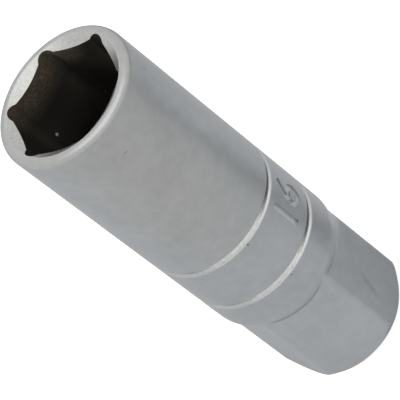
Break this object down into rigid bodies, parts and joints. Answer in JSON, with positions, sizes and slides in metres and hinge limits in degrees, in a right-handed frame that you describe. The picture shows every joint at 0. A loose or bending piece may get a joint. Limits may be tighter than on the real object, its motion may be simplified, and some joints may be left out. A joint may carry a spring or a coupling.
{
  "type": "spark plug socket",
  "caption": "Deep round socket that turns a spark plug by its hexagon, with a rubber plug grip inside and a square drive within a wrench hexagon at the other end.",
  "frame": {"origin": "centre of the drive end's face, on the socket's axis", "axes": "+Z along the axis towards the mouth, +X through a corner of the wrench hexagon, the square drive's walls face X and Y"},
  "size_m": [0.0218, 0.0218, 0.068],
  "materials": {
    "chromed_steel": "satin chrome plate outside, dark oxide inside",
    "grip_rubber": "matte black rubber"
  },
  "bodies": {
    "root": {"socket_body": "chromed_steel", "plug_grip": "grip_rubber"}
  },
  "joints": []
}
